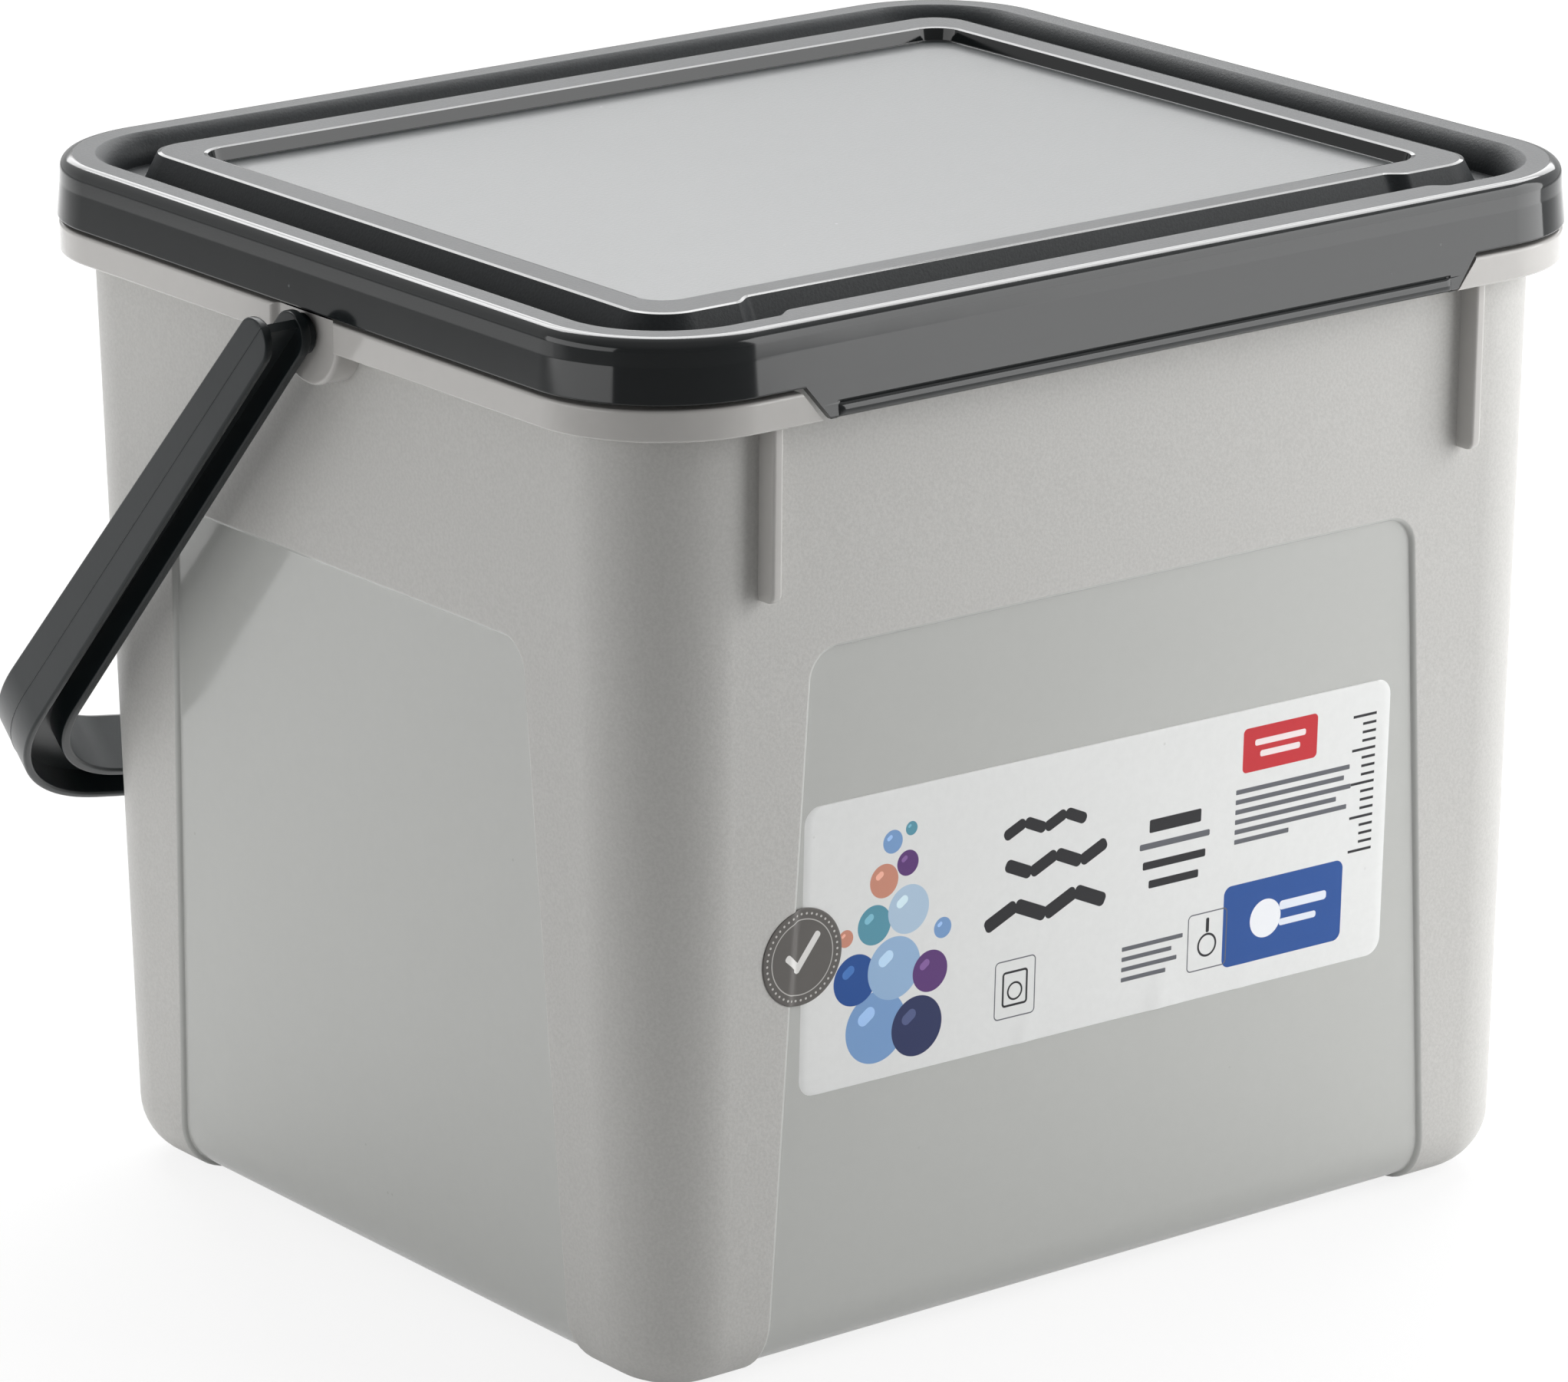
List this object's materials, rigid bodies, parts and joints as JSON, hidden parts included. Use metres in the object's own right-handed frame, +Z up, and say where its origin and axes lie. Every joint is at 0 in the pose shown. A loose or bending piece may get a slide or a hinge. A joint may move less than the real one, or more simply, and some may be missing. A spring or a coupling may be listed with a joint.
{
  "type": "laundry powder container",
  "caption": "Rectangular plastic bucket with a press-on lid, a bail handle on side pivots and a front label, for washing powder.",
  "frame": {"origin": "middle of the bucket's base, on the surface that it stands on", "axes": "+Z up; the front with the grip tab and the label faces -Y; the handle's pivot axis runs along X"},
  "size_m": [0.227, 0.2011, 0.18],
  "materials": {
    "bucket_plastic": "warm light grey polypropylene, fine matte texture, smoother panels",
    "lid_plastic": "anthracite polypropylene, glossy skirt, satin top",
    "handle_plastic": "dark anthracite polypropylene, satin",
    "label_film": "white film with a coloured print",
    "seal_film": "dark warm grey film"
  },
  "bodies": {
    "container": {"bucket": "bucket_plastic", "label": "label_film", "round_seal": "seal_film"},
    "lid": {"lid": "lid_plastic"},
    "handle": {"handle": "handle_plastic"}
  },
  "joints": [
    {"name": "lid_lift", "type": "slide", "parent": "container", "child": "lid", "axis": [0, 0, 1], "range_m": [0, 0.07]},
    {"name": "handle_swing", "type": "hinge", "parent": "container", "child": "handle", "pos_m": [0, 0, 0.1653], "axis": [1, 0, 0], "range_deg": [0, 273]}
  ]
}
